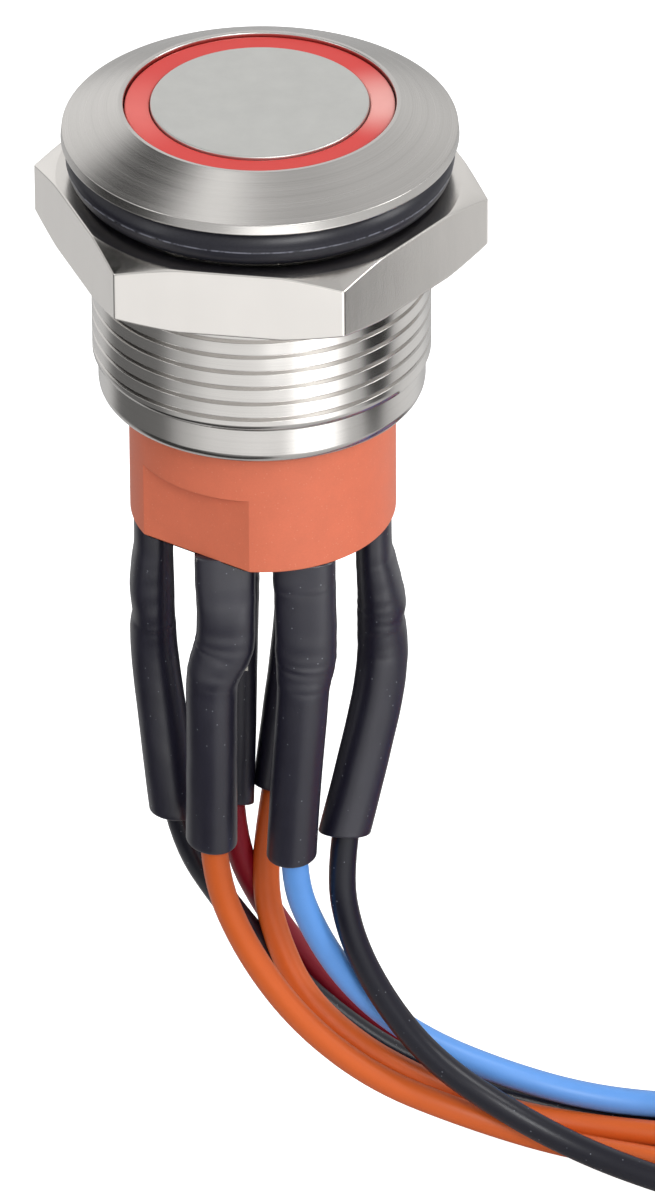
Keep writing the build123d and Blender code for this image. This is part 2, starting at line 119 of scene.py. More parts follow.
# Leads. The points are the route's, from inside each sleeve to the coil, in millimetres.
leads = {
    "front_left": {
        "colour": "orange", "slot": "wire_orange", "column": 0, "row": 1, "turns": 2.75,
        "route": [(-3.0, -4.9, -40.5), (-3.1, -4.4, -45.5), (-1.3, -4.7, -50.7), (1.8, -4.9, -55.7),
                  (6.0, -4.6, -59.9), (11.2, -4.1, -62.8), (16.8, -4.6, -64.6), (22.6, -6.1, -64.8),
                  (27.6, -8.7, -64.0), (33.0, -11.6, -62.8)],
    },
    "back_right": {
        "colour": "orange", "slot": "wire_orange", "column": 0, "row": 2, "turns": 2.6875,
        "route": [(1.1, 2.5, -40.9), (0.1, 0.8, -46.2), (-0.1, -0.3, -49.7), (0.5, -1.3, -52.2),
                  (2.0, -2.4, -55.6), (5.0, -3.0, -58.6), (8.6, -2.8, -61.2), (12.4, -2.6, -63.3),
                  (17.4, -2.8, -64.5), (23.0, -4.4, -64.2),
                  (27.6, -7.3, -62.4), (33.0, -11.6, -61.2)],
    },
    "front_right": {
        "colour": "blue", "slot": "wire_blue", "column": 1, "row": 2, "turns": 3.4375,
        "route": [(1.7, -5.4, -40.9), (1.4, -5.3, -45.3), (2.8, -4.5, -50.1), (5.2, -3.6, -54.7),
                  (8.8, -2.8, -58.5), (13.3, -2.2, -61.2), (18.1, -2.1, -63.0), (23.0, -2.6, -63.4),
                  (27.6, -4.9, -61.9), (31.4, -8.3, -61.2)],
    },
    "right": {
        "colour": "black", "slot": "wire_black", "column": 0, "row": 0, "turns": 2.8125,
        "route": [(5.0, -2.6, -41.0), (4.1, -4.2, -45.5), (4.7, -4.7, -49.9), (6.6, -4.7, -54.4),
                  (9.4, -4.7, -58.6), (13.5, -5.1, -61.8), (18.1, -6.4, -63.9), (23.0, -8.6, -64.6),
                  (27.8, -10.6, -64.8), (33.2, -11.7, -64.75)],
    },
    "left": {
        "colour": "black", "slot": "wire_black", "column": 1, "row": 1, "turns": 3.375,
        "route": [(-5.5, -0.9, -40.6), (-5.0, -1.4, -45.0), (-2.3, -1.2, -50.2), (2.0, -0.4, -56.6),
                  (7.0, -1.1, -60.7), (12.4, -0.6, -63.6), (17.9, -0.9, -65.0), (23.0, -2.2, -65.0),
                  (27.6, -5.2, -63.6), (31.4, -8.3, -62.9)],
    },
    "back_left": {
        "colour": "red", "slot": "wire_red", "column": 1, "row": 0, "turns": 3.375,
        "route": [(-2.0, 1.8, -41.4), (-2.2, 0.2, -46.2), (0.2, 1.0, -52.4), (3.7, 1.2, -57.7),
                  (7.9, 1.0, -61.6), (12.5, 1.2, -64.3), (17.3, 0.9, -65.0), (22.8, -0.4, -65.0),
                  (27.6, -3.1, -65.0), (31.2, -7.9, -64.7)],
    },
}
coil = {
    "centre": (43.2, 6.6),
    "radius": 18.2,
    "pitch": 1.62,
    "rowPitch": 1.68,
    "pointsPerTurn": 16,
    "length": 0.300,
    "diameter": 1.55,
}


def coilPoints(lead):
    # A flat spiral that shrinks two wire columns a turn. A quadratic spline runs 1.9% inside a
    # 16-sided turn, so the points stand that much further out.
    cx, cy = coil["centre"]
    inset = 0.75 + 0.25 * np.cos(2 * np.pi / coil["pointsPerTurn"])
    start = coil["radius"] - lead["column"] * coil["pitch"]
    z = coilBottom + coil["diameter"] / 2 + lead["row"] * coil["rowPitch"]
    points = [(x, cy - start / inset, z) for x in (cx - 5.0, cx)]
    last = round(lead["turns"] * coil["pointsPerTurn"])
    for number in range(1, last + 1):
        turn = number / coil["pointsPerTurn"]
        radius = (start - 2 * coil["pitch"] * turn) / (inset if number < last else (1 + inset) / 2)
        angle = 2 * np.pi * turn
        points.append((cx + radius * np.sin(angle), cy - radius * np.cos(angle), z))
    return points


def splineCurve(name, points, radius):
    data = bpy.data.curves.new(name, "CURVE")
    data.dimensions = "3D"
    spline = data.splines.new("NURBS")
    spline.points.add(len(points) - 1)
    for point, place in zip(spline.points, points):
        point.co = (place[0] * mm, place[1] * mm, place[2] * mm, 1)
        point.radius = radius * mm
    spline.order_u = 3
    spline.use_endpoint_u = True
    spline.resolution_u = 8
    # The points carry the wire's radius, so that the box round the curve is the wire's own.
    data.bevel_depth = 1.0
    data.bevel_resolution = 4
    data.use_fill_caps = True
    obj = bpy.data.objects.new(name, data)
    bpy.context.collection.objects.link(obj)
    return obj


wires = {}
for side, lead in leads.items():
    points = lead["route"] + coilPoints(lead)
    wires[side] = splineCurve("lead_" + side, points, coil["diameter"] / 2)
print("leads laid")

# Lights. Each has a place, an aim and a size in millimetres, and its power.
lights = {
    "frontBox": {"place": (160, -400, 260), "aim": (0, 0, -25), "size": (200, 160), "power": 0.75},
    "leftBox": {"place": (-380, -200, 120), "aim": (0, 0, -40), "size": (70, 300), "power": 0.14},
    "rightBox": {"place": (380, -60, 200), "aim": (0, 0, -20), "size": (120, 260), "power": 0.5},
}
# What the metal mirrors above: a plain pale room with soft panels and flags, each a direction, the
# angles within which it is full and beyond which it is gone, and its level.
room = {
    "level": 0.62,
    "panels": [
        ((-0.41, 0.84, 0.34), 10, 30, 0.95),
        ((0.10, 0.84, 0.50), 12, 30, 0.82),
        ((0.10, 0.13, 0.98), 9, 18, 0.5),
        ((-0.20, 0.13, 0.96), 5, 10, 1.4),
        ((-0.46, 0.40, 0.80), 11, 17, 0.0),
        ((0.16, -0.84, 0.50), 14, 30, 1.1),
    ],
}
# What it mirrors below: the floor, with painted light in pools that glow only for the metal, and painted
# shade in dark spots on it out of view. Each is a centre, the distances within which it is full and
# beyond which it is gone, and its level.
studio = {
    "floor": 0.62,
    "floorZ": -65.9,
    "floorHalf": 3000,
    "cameraGlow": 1.0,
    "pools": [
        ((-31, -103), 25, 70, 0.42),
        ((60, -82), 8, 46, 2.0),
        ((30, -195), 50, 95, 1.5),
        ((20, -116), 6, 26, 0.9),
        ((90, 55), 20, 55, 0.25),
        ((-70, 82), 20, 50, 0.14),
    ],
    "paintedShadeSpots": [
        ((-105, 5), 38, 68, 0.2),
        ((-330, -30), 180, 220, 0.03),
        ((116.5, -16), 27, 32, 0.0),
        ((-24, -48), 26, 37, 0.05),
        ((-52, -14), 18, 32, 0.05),
        ((52, 18), 18, 32, 0.08),
    ],
}


def makeLight(name, light):
    data = bpy.data.lights.new(name, "AREA")
    data.shape = "RECTANGLE"
    data.size, data.size_y = (side * mm for side in light["size"])
    data.energy = light["power"]
    place, aim = np.array(light["place"], float), np.array(light["aim"], float)
    back = (place - aim) / np.linalg.norm(place - aim)
    side = np.cross((0, 0, 1), back)
    side /= np.linalg.norm(side)
    stand(bpy.data.objects.new(name, data), side, np.cross(back, side), back, place)


for name, light in lights.items():
    makeLight(name, light)
bpy.context.scene.view_settings.view_transform = "Standard"
print("camera and lights set")


class Signal:
    # An output socket that takes part in plain arithmetic. Each operator adds one Math node.
    def __init__(self, graph, socket):
        self.graph = graph
        self.socket = socket

    def math(self, operation, first, second=0.0):
        return self.graph.node("ShaderNodeMath", {"operation": operation}, {0: first, 1: second})

    def __add__(self, other):
        return self.math("ADD", self, other)

    def __radd__(self, other):
        return self.math("ADD", other, self)

    def __sub__(self, other):
        return self.math("SUBTRACT", self, other)

    def __rsub__(self, other):
        return self.math("SUBTRACT", other, self)

    def __mul__(self, other):
        return self.math("MULTIPLY", self, other)

    def __pow__(self, other):
        return self.math("POWER", self, other)

    def __abs__(self):
        return self.math("ABSOLUTE", self)

    def ramp(self, low, high, kind="LINEAR"):
        # From 0 at low to 1 at high, held outside.
        ends = {"Value": self, "From Min": low, "From Max": high}
        return self.graph.node("ShaderNodeMapRange", {"interpolation_type": kind}, ends)

    def smooth(self, low, high):
        # The same with a soft start and end.
        return self.ramp(low, high, "SMOOTHSTEP")


class Graph:
    # The nodes of one material or of the world, built one call at a time.
    def __init__(self, name, kind="materials"):
        self.material = getattr(bpy.data, kind).new(name)
        self.material.use_nodes = True
        self.tree = self.material.node_tree
        self.shader = self.tree.nodes["Principled BSDF" if kind == "materials" else "Background"]

    def put(self, socket, value):
        if isinstance(value, Signal):
            self.tree.links.new(value.socket, socket)
        elif socket.type == "RGBA":
            socket.default_value = (*value, 1)
        else:
            socket.default_value = value

    def node(self, kind, settings=None, inputs=None, output=0):
        node = self.tree.nodes.new(kind)
        for key, value in (settings or {}).items():
            setattr(node, key, value)
        for key, value in (inputs or {}).items():
            self.put(node.inputs[key], value)
        return Signal(self, node.outputs[output])

    def place(self, scale=(1, 1, 1)):
        # Object coordinates in millimetres, times a scale for each axis.
        coordinates = self.node("ShaderNodeTexCoord", output="Object")
        factors = tuple(number / mm for number in scale)
        return self.node("ShaderNodeVectorMath", {"operation": "MULTIPLY"}, {0: coordinates, 1: factors})

    def noise(self, size, detail, roughness, vector=None, lean=(1, 1, 1)):
        # Soft noise from 0 to 1. Its blotches are about size millimetres, longer where lean is small.
        vector = vector or self.place(lean)
        sockets = {"Vector": vector, "Scale": 1 / size, "Detail": detail, "Roughness": roughness}
        return self.node("ShaderNodeTexNoise", {}, sockets)

    def specks(self, size, share):
        # 1 inside small round specks, each about size millimetres, in a share of the cells.
        sockets = {"Vector": self.place(), "Scale": 1 / size}
        cells = self.node("ShaderNodeTexVoronoi", {"feature": "F1"}, sockets)
        centre = Signal(self, cells.socket.node.outputs["Position"])
        chance = self.node("ShaderNodeTexWhiteNoise", {"noise_dimensions": "3D"}, {"Vector": centre})
        near = 1 - cells.smooth(0.10, 0.24)
        return near * (1 - chance.ramp(share - 0.001, share))

    def split(self, vector):
        node = self.node("ShaderNodeSeparateXYZ", {}, {0: vector}).socket.node
        return [Signal(self, socket) for socket in node.outputs]

    def mix(self, factor, first, second):
        sockets = {0: factor, 6: first, 7: second}
        return self.node("ShaderNodeMix", {"data_type": "RGBA"}, sockets, output=2)

    def mottle(self, noise, tint, dark, light):
        # The tint times dark where the noise is low, and times light where it is high.
        first, second = [level * dark for level in tint], [level * light for level in tint]
        return self.mix(noise.ramp(0.3, 0.7), first, second)

    def bump(self, height, strength, distance):
        sockets = {"Height": height, "Strength": strength, "Distance": distance * mm}
        return self.node("ShaderNodeBump", {}, sockets)

    def dot(self, first, second):
        sockets = {0: first, 1: second}
        return self.node("ShaderNodeVectorMath", {"operation": "DOT_PRODUCT"}, sockets, output=1)

    def finish(self, **sockets):
        for key, value in sockets.items():
            self.put(self.shader.inputs[key.replace("_", " ")], value)
        return self.material


def paint(red, green, blue):
    # A colour as a screen shows it, 0 to 255, as the shader wants it.
    levels = np.array([red, green, blue]) / 255
    return tuple(np.where(levels < 0.04045, levels / 12.92, ((levels + 0.055) / 1.055) ** 2.4).tolist())


def makeRoom(r):
    # Level of the room toward each direction: panel over panel, each with a soft edge.
    g = Graph("room", "worlds")
    direction = g.node("ShaderNodeTexCoord", output="Generated")
    level = r["level"]
    for toward, full, gone, own in r["panels"]:
        way = np.array(toward) / np.linalg.norm(toward)
        full, gone = np.cos(np.radians([full, gone]))
        mask = g.dot(direction, tuple(way)).smooth(gone, full)
        level = mask * own + (1 - mask) * level
    g.finish(Color=(1.0, 1.0, 1.0), Strength=level)
    bpy.context.scene.world = g.material


makeRoom(room)


def turnedSteel(name, tint, rough, grain):
    # Lathe marks: noise that varies only with the distance from the axis and the height. They and the
    # bezel's roughness fade out below it, where the thread is brighter.
    g = Graph(name)
    x, y, z = g.split(g.place())
    radius = (x * x + y * y) ** 0.5
    rings = g.node("ShaderNodeCombineXYZ", {}, {0: radius, 1: z, 2: 0.0})
    fine = g.noise(grain["fine"], 3, 0.6, vector=rings)
    broad = g.noise(grain["broad"], 2, 0.5, vector=rings)
    cloud = g.noise(3.5, 2, 0.5)
    lines = fine * 0.65 + broad * 0.35
    below, above = grain["below"], z.smooth(*grain["fade"])
    return g.finish(
        Base_Color=g.mottle(lines, tint, 0.90, 1.06),
        Metallic=1.0,
        Roughness=below + above * (rough - below + (lines - 0.5) * grain["rough"])
        + (cloud - 0.5) * 0.04,
        Anisotropic=grain["anisotropy"],
        Normal=g.bump(lines * above, grain["depth"], 0.02),
    )


def satinSteel(name, tint):
    g = Graph(name)
    cloud = g.noise(1.6, 3, 0.6)
    grit = g.noise(0.11, 2, 0.6)
    return g.finish(
        Base_Color=g.mottle(cloud, tint, 0.96, 1.03),
        Metallic=1.0,
        Roughness=0.40 + (cloud - 0.5) * 0.06,
        Normal=g.bump(grit, 0.10, 0.02),
    )


def nickelPlate(name, tint):
    # Bright plate over milled flats: faint upright streaks and a few fine pits.
    g = Graph(name)
    streaks = g.noise(0.9, 3, 0.6, lean=(1, 1, 0.16))
    grit = g.noise(0.16, 2, 0.6)
    cloud = g.noise(4.0, 2, 0.5)
    return g.finish(
        Base_Color=g.mottle(cloud, tint, 0.97, 1.02),
        Metallic=1.0,
        Roughness=0.20 + (streaks - 0.5) * 0.10 + (cloud - 0.5) * 0.06,
        Normal=g.bump(streaks * 0.6 + grit * 0.4, 0.10, 0.03),
    )


def mouldedPlastic(name, tint, rough, mottle, speck=None, gloss=0.5):
    # Mottled body colour with a fine moulded grain and, where asked, paler specks.
    g = Graph(name)
    cloud = g.noise(1.4, 3, 0.6)
    grit = g.noise(0.10, 2, 0.6)
    colour = g.mottle(cloud * 0.6 + grit * 0.4, tint, 1 - mottle, 1 + mottle)
    if speck:
        mask = g.specks(speck["size"], speck["share"]) * speck["strength"]
        colour = g.mix(mask, colour, speck["tint"])
    return g.finish(
        Base_Color=colour,
        Roughness=rough + (cloud - 0.5) * 0.10,
        Specular_IOR_Level=gloss,
        Normal=g.bump(grit, 0.12, 0.02),
    )


def ringMoulding(name, tint, paintedHighlights):
    # Painted highlights: the colour turns pinker at two sides, where the light that runs round inside
    # the ring leaves it.
    g = Graph(name)
    x, y, _ = g.split(g.place())
    cloud = g.noise(1.8, 2, 0.5)
    colour = tint
    # Each spot mixes a painted highlight into the colour.
    for spot in paintedHighlights:
        away = ((x - spot["at"][0]) ** 2 + (y - spot["at"][1]) ** 2) ** 0.5
        mask = (1 - away.smooth(spot["core"], spot["reach"])) * spot["share"]
        colour = g.mix(mask, colour, spot["tint"])
    return g.finish(
        Base_Color=g.mix(cloud.ramp(0.3, 0.7) * 0.10, colour, [level * 0.8 for level in tint]),
        Roughness=0.40 + (cloud - 0.5) * 0.06,
        Coat_Weight=0.2,
    )


def sealRubber(name, tint, s):
    # Black rubber with a painted highlight, a pale line, where the two halves of its mould met.
    g = Graph(name)
    _, _, z = g.split(g.place())
    cloud = g.noise(0.5, 3, 0.6)
    grit = g.noise(0.12, 2, 0.6)
    fromMiddle = abs(z + (s["gap"] + s["section"] / 2))
    # The pale line is a painted highlight along the mould line, broken up by noise.
    line = (1 - fromMiddle.smooth(*s["line"])) * cloud.smooth(0.35, 0.6)
    return g.finish(
        Base_Color=g.mix(line * 0.5, g.mix(grit * 0.3, tint, s["bloom"]), s["dustAndHighlight"]),
        Roughness=0.34 + (cloud - 0.5) * 0.10,
        Normal=g.bump(grit, 0.10, 0.02),
    )


def plainMetal(name, tint, rough):
    g = Graph(name)
    cloud = g.noise(0.8, 3, 0.6)
    colour = g.mottle(cloud, tint, 0.92, 1.04)
    return g.finish(Base_Color=colour, Metallic=1.0, Roughness=rough + (cloud - 0.5) * 0.12)


# Painted highlights on the ring: pinker spots at its right and left sides.
ringPaintedHighlights = [
    {"at": (6.7, 0.2), "core": 0.3, "reach": 4.4, "share": 0.95, "tint": paint(255, 184, 176)},
    {"at": (-6.7, -0.6), "core": 0.3, "reach": 5.0, "share": 0.5, "tint": paint(255, 140, 130)},
]
# The seal under the bezel, with the line that its mould left at its middle; the pale colour along that
# line is a painted highlight
seal = {
    "gap": 0.03, "section": 2.4, "flash": 0.05, "flashWidth": 0.05, "shrink": 0.02,
    "line": (0.02, 0.07), "bloom": paint(60, 60, 74), "dustAndHighlight": paint(150, 152, 166),
}
bezelGrain = {
    "fine": 0.05, "broad": 0.35, "rough": 0.14, "depth": 0.14, "anisotropy": 0.5,
    "below": 0.17, "fade": (-3, 0),
}
# Pale dust specks on the black sleeves and the black lead.
dustAndHighlight = {"size": 0.24, "share": 0.08, "strength": 0.5, "tint": paint(150, 155, 165)}
finishes = {
    "bezel": turnedSteel("bezelSteel", (0.66, 0.64, 0.615), 0.25, bezelGrain),
    "cap": satinSteel("capSteel", (0.68, 0.68, 0.655)),
    "nut": nickelPlate("nutNickel", (0.80, 0.77, 0.735)),
    "seal": sealRubber("sealRubber", paint(10, 10, 22), seal),
    "ring": ringMoulding("ringRed", paint(226, 50, 42), ringPaintedHighlights),
    "base": mouldedPlastic(
        "baseOrange", paint(230, 122, 90), 0.52, 0.05,
        {"size": 0.20, "share": 0.40, "strength": 0.26, "tint": paint(250, 186, 158)},
    ),
    "sleeve": mouldedPlastic("sleeveBlack", paint(22, 20, 38), 0.36, 0.12, dustAndHighlight, gloss=0.9),
    "orange": mouldedPlastic("wireOrange", paint(223, 101, 36), 0.44, 0.03),
    "blue": mouldedPlastic("wireBlue", paint(104, 166, 244), 0.38, 0.03),
    "black": mouldedPlastic("wireBlack", paint(12, 12, 28), 0.34, 0.08, dustAndHighlight),
    "red": mouldedPlastic("wireRed", paint(146, 0, 30), 0.46, 0.04),
    "tie": mouldedPlastic("tieBlack", paint(30, 30, 30), 0.40, 0.06),
    "tin": plainMetal("tinnedEnd", (0.72, 0.71, 0.69), 0.32),
    "plunger": mouldedPlastic("plungerWhite", paint(232, 230, 222), 0.42, 0.02),
    "spring": plainMetal("springSteel", (0.66, 0.65, 0.63), 0.28),
    "board": mouldedPlastic("boardWhite", paint(224, 226, 222), 0.45, 0.02),
    "chip": mouldedPlastic("chipYellow", paint(228, 198, 96), 0.30, 0.05),
    "bead": mouldedPlastic("beadBlack", paint(36, 36, 38), 0.35, 0.05),
    "terminal": plainMetal("terminalTin", (0.74, 0.71, 0.64), 0.30),
    "contact": plainMetal("contactSilver", (0.86, 0.85, 0.83), 0.22),
    "bridge": plainMetal("bridgeCopper", (0.78, 0.52, 0.32), 0.28),
}
print("materials made:", len(finishes))


def meshFrom(name, points, faces):
    # Welds points that coincide, drops faces that collapse, and writes the mesh in metres.
    weld = 1e-5
    points = points.reshape(-1, 3)
    keys = np.round(points / weld).astype(np.int64)
    _, first, index = np.unique(keys, axis=0, return_index=True, return_inverse=True)
    corners = index.reshape(-1)[faces]
    kept = corners != np.roll(corners, 1, axis=1)
    sizes = kept.sum(axis=1)
    different = 1 + (np.diff(np.sort(corners, axis=1), axis=1) > 0).sum(axis=1)
    good = (sizes > 2) & (sizes == different)
    corners, sizes = corners[good][kept[good]], sizes[good]
    mesh = bpy.data.meshes.new(name)
    mesh.vertices.add(len(first))
    mesh.vertices.foreach_set("co", (points[first] * mm).reshape(-1).astype(np.float32))
    mesh.loops.add(len(corners))
    mesh.loops.foreach_set("vertex_index", corners.astype(np.int32))
    mesh.polygons.add(len(sizes))
    mesh.polygons.foreach_set("loop_start", (np.cumsum(sizes) - sizes).astype(np.int32))
    mesh.polygons.foreach_set("use_smooth", np.ones(len(sizes), bool))
    mesh.update(calc_edges=True)
    obj = bpy.data.objects.new(name, mesh)
    bpy.context.collection.objects.link(obj)
    return obj


def gridFaces(rows, columns, closeRows=False, closeColumns=True):
    # Quads of a grid of rows by columns, each as four point numbers; either way may be closed.
    i = np.arange(rows if closeRows else rows - 1)
    j = np.arange(columns if closeColumns else columns - 1)
    i, j = np.meshgrid(i, j, indexing="ij")
    nextI, nextJ = (i + 1) % rows, (j + 1) % columns
    corners = [i * columns + j, i * columns + nextJ, nextI * columns + nextJ, nextI * columns + j]
    return np.stack(corners, axis=-1).reshape(-1, 4)


def roundedLine(corners):
    # Corners (across, up, radius) joined by straight runs, each corner an arc of its radius, or of
    # less where a run is short. Two extra points guard every run, so that smooth shading stays on
    # the arcs. A radius of 0 leaves the corner sharp.
    corners = [np.array(corner, float) for corner in corners]
    line = []
    count = len(corners)
    for number, corner in enumerate(corners):
        if corner[2] == 0:
            line.append(corner[:2])
            continue
        here, before, after = corner[:2], corners[number - 1][:2], corners[(number + 1) % count][:2]
        back, ahead = before - here, after - here
        backLength, aheadLength = np.linalg.norm(back), np.linalg.norm(ahead)
        back, ahead = back / backLength, ahead / aheadLength
        half = np.arccos(np.clip(back @ ahead, -1, 1)) / 2
        reach = min(corner[2] / np.tan(half), 0.45 * min(backLength, aheadLength))
        radius = reach * np.tan(half)
        middle = here + (back + ahead) / np.linalg.norm(back + ahead) * radius / np.sin(half)
        start, end = here + back * reach, here + ahead * reach
        guard = 0.04 * min(1, backLength, aheadLength)
        sweep = np.pi - 2 * half
        steps = max(2, int(np.ceil(sweep / np.radians(15))))
        line.append(start + back * guard)
        for step in np.linspace(0, 1, steps + 1):
            way = (start - middle) * np.sin((1 - step) * sweep) + (end - middle) * np.sin(step * sweep)
            line.append(middle + way / np.sin(sweep))
        line.append(end + ahead * guard)
    return np.array(line)


def polar(r, angle, z):
    # Points at a radius, angle and height: x = r cos angle, y = r sin angle.
    points = np.stack(np.broadcast_arrays(r * np.cos(angle), r * np.sin(angle), z), axis=-1)
    return points.reshape(-1, 3)


def turned(line, columns, closed=False):
    # An outline of (radius, height) turned about the axis.
    angles = np.linspace(0, 2 * np.pi, columns, endpoint=False)
    return polar(line[:, :1], angles, line[:, 1:]), gridFaces(len(line), columns, closeRows=closed)


def carry(obj, body, material, slotName, *nodes):
    # Hangs a finished piece on its body, in its material, in place of its solids.
    obj.data.materials.append(finishes[material])
    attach(obj, body)
    if nodes:
        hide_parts(*nodes)
    return obj


# Bezel and barrel
body = {
    "openingRadius": 7.53,
    "lip": 0.24,
    "rimHeight": 0.62,
    "rimSlope": 0.07,
    "guard": 0.05,
    "undercutRadius": 8.3,
    "undercutBottom": -2.95,
    "threadRadius": 9.435,
    "threadBottom": -13.35,
    "runOut": 0.19,
    "landRadius": 9.125,
    "lipRound": 1.5,
    "rearBore": 7.5,
    "webTop": -3.2,
    "webBottom": -6.0,
    "webBore": 2.55,
    "pitch": 1.0,
    "crest": -8.14,
    "depth": 0.22,
    "crestFlat": 0.36,
    "rootFlat": 0.02,
    "edge": 0.10,
    "heelEdge": 0.08,
    "openingEdge": 0.09,
    "lipEdge": 0.05,
    "rimEdge": 0.06,
}


def threadRadius(height, angle, b):
    # Radius of the thread: crest at height crest + pitch * (angle + 90 deg) / 360 deg, falling to the
    # root half a pitch away along straight flanks, with a broad flat on the crest and a narrow one in
    # the root. The ends are cut by a 45 degree slope above and by the run-out to the plain land below.
    crest = b["crest"] + b["pitch"] * (angle + np.pi / 2) / (2 * np.pi)
    away = np.abs((height - crest) / b["pitch"] - np.round((height - crest) / b["pitch"]))
    fall = np.clip((away - b["crestFlat"]) / (0.5 - b["crestFlat"] - b["rootFlat"]), 0, 1)
    radius = b["threadRadius"] - b["depth"] * fall
    top = b["undercutRadius"] + (b["undercutBottom"] - height)
    out = np.clip((b["threadBottom"] - height) / b["runOut"], 0, 1)
    return np.minimum(radius * (1 - out) + b["landRadius"] * out, np.maximum(top, b["undercutRadius"]))


def threadSurface(b, columns):
    # Rows follow the helix: height = row height + pitch * angle / 360 deg, held between the two ends.
    angles = np.linspace(0, 2 * np.pi, columns + 1)
    top, bottom = b["undercutBottom"], b["threadBottom"] - b["runOut"]
    crest, root = b["crestFlat"], 0.5 - b["rootFlat"]
    near = 0.01
    half = np.array([0.10, crest - near, crest, crest + near, root - near, root])
    phases = np.concatenate([-half[::-1], half])
    turns = np.arange(np.ceil((top - bottom) / b["pitch"]) + 3)
    starts = b["crest"] + b["pitch"] * (0.25 + np.floor((bottom - b["crest"]) / b["pitch"]) - 1)
    heights = starts + b["pitch"] * (turns[:, None] + phases[None, :]).reshape(-1)
    z = np.clip(heights[::-1, None] + b["pitch"] * angles[None, :] / (2 * np.pi), bottom, top)
    r = threadRadius(z, angles[None, :], b)
    return polar(r, angles, z), gridFaces(len(heights), columns + 1, closeColumns=False)


def makeBody(b, columns):
    lip, edge = b["openingRadius"] + b["lip"], b["edge"]
    landTop = b["threadBottom"] - b["runOut"]
    # The outline runs from the thread's lower end round the inside to its upper end.
    outline = roundedLine([
        (b["landRadius"], landTop, 0),
        (b["landRadius"], landTop - b["guard"], 0),
        (b["landRadius"], barrelBottom, b["lipRound"]),
        (b["rearBore"], barrelBottom, b["heelEdge"]),
        (b["rearBore"], b["webBottom"], edge),
        (b["webBore"], b["webBottom"], edge),
        (b["webBore"], b["webTop"], edge),
        (b["openingRadius"], b["webTop"], edge),
        (b["openingRadius"], bezelTop, b["openingEdge"]),
        (lip, bezelTop, b["lipEdge"]),
        (bezelRadius - b["rimSlope"], b["rimHeight"], b["rimEdge"]),
        (bezelRadius, 0, edge),
        (b["undercutRadius"], 0, edge),
        (b["undercutRadius"], b["undercutBottom"] + b["guard"], 0),
        (b["undercutRadius"], b["undercutBottom"], 0),
    ])
    points, faces = turned(outline, columns)
    threadPoints, threadFaces = threadSurface(b, columns)
    # The thread's rows run downwards and the outline's go on from there, so both face outwards.
    allPoints = np.concatenate([points, threadPoints])
    allFaces = np.concatenate([faces[:, ::-1], threadFaces[:, ::-1] + len(points)])
    return meshFrom("bezel_and_barrel", allPoints, allFaces)


carry(makeBody(body, columns=360), "switch", "bezel", "bezel_steel", "switch_body")
print("bezel and barrel turned")

# Moving head
head = {"edge": 0.10, "gap": 0.05, "thickness": 1.1, "hub": 3.0, "hubGap": 0.03, "shelf": 0.2,
        "ringWall": 1.25, "ringEdge": 0.05, "columns": 240}


def makeHead(h):
    edge, under = h["edge"], capTop - h["thickness"]
    cap = roundedLine([
        (0.001, capTop, 0), (capRadius, capTop, edge), (capRadius, under, edge),
        (h["hub"], under, edge), (h["hub"], capBottom, edge), (0.001, capBottom, 0),
    ])
    cap[[0, -1], 0] = 0
    points, faces = turned(cap, h["columns"])
    piece = meshFrom("pressed_cap", points, faces[:, ::-1])
    carry(piece, "actuator", "cap", "cap_steel", "actuator_cap")
    inner, hole, wall = capRadius + h["gap"], h["hub"] + h["hubGap"], ringRadius - h["ringWall"]
    ring = roundedLine([
        (inner, ringTop, edge), (ringRadius, ringTop, edge), (ringRadius, ringBottom, edge),
        (wall, ringBottom, edge), (wall, h["shelf"], edge), (hole, h["shelf"], h["ringEdge"]),
        (hole, under, h["ringEdge"]), (inner, under, h["ringEdge"]),
    ])
    points, faces = turned(ring, h["columns"], closed=True)
    piece = meshFrom("red_ring", points, faces[:, ::-1])
    carry(piece, "actuator", "ring", "ring_red", "light_ring")


makeHead(head)


def makeSeal(s):
    # A torus whose section radius grows by a narrow bell at its outermost and innermost lines, where
    # the section's points are drawn together.
    rows, columns = 288, 60
    around = np.linspace(0, 2 * np.pi, rows, endpoint=False)
    section = np.linspace(0, 2 * np.pi, columns, endpoint=False)
    section = section - 0.32 * np.sin(2 * section)
    bell = np.exp(-((np.sin(section) / s["flashWidth"]) ** 2))
    ragged = 0.65 + 0.2 * np.sin(7 * around) + 0.15 * np.sin(23 * around + 1.0)
    radius = s["section"] / 2 + s["flash"] * bell[None, :] * ragged[:, None] - s["shrink"]
    centre = body["undercutRadius"] + s["gap"] + s["section"] / 2
    r = centre + radius * np.cos(section)[None, :]
    z = -s["gap"] - s["section"] / 2 + radius * np.sin(section)[None, :]
    return meshFrom("seal_ring", polar(r, around[:, None], z), gridFaces(rows, columns, closeRows=True))


carry(makeSeal(seal), "switch", "seal", "seal_rubber", "o_ring")

# Hexagon nut
nut = {"flats": 22.0, "turn": -9.0, "chamferRadius": 11.3, "chamferSlope": 22.5, "edge": 0.10,
       "cornerEdge": 0.16, "bore": 9.485, "boreChamfer": 0.3, "guard": 0.08}


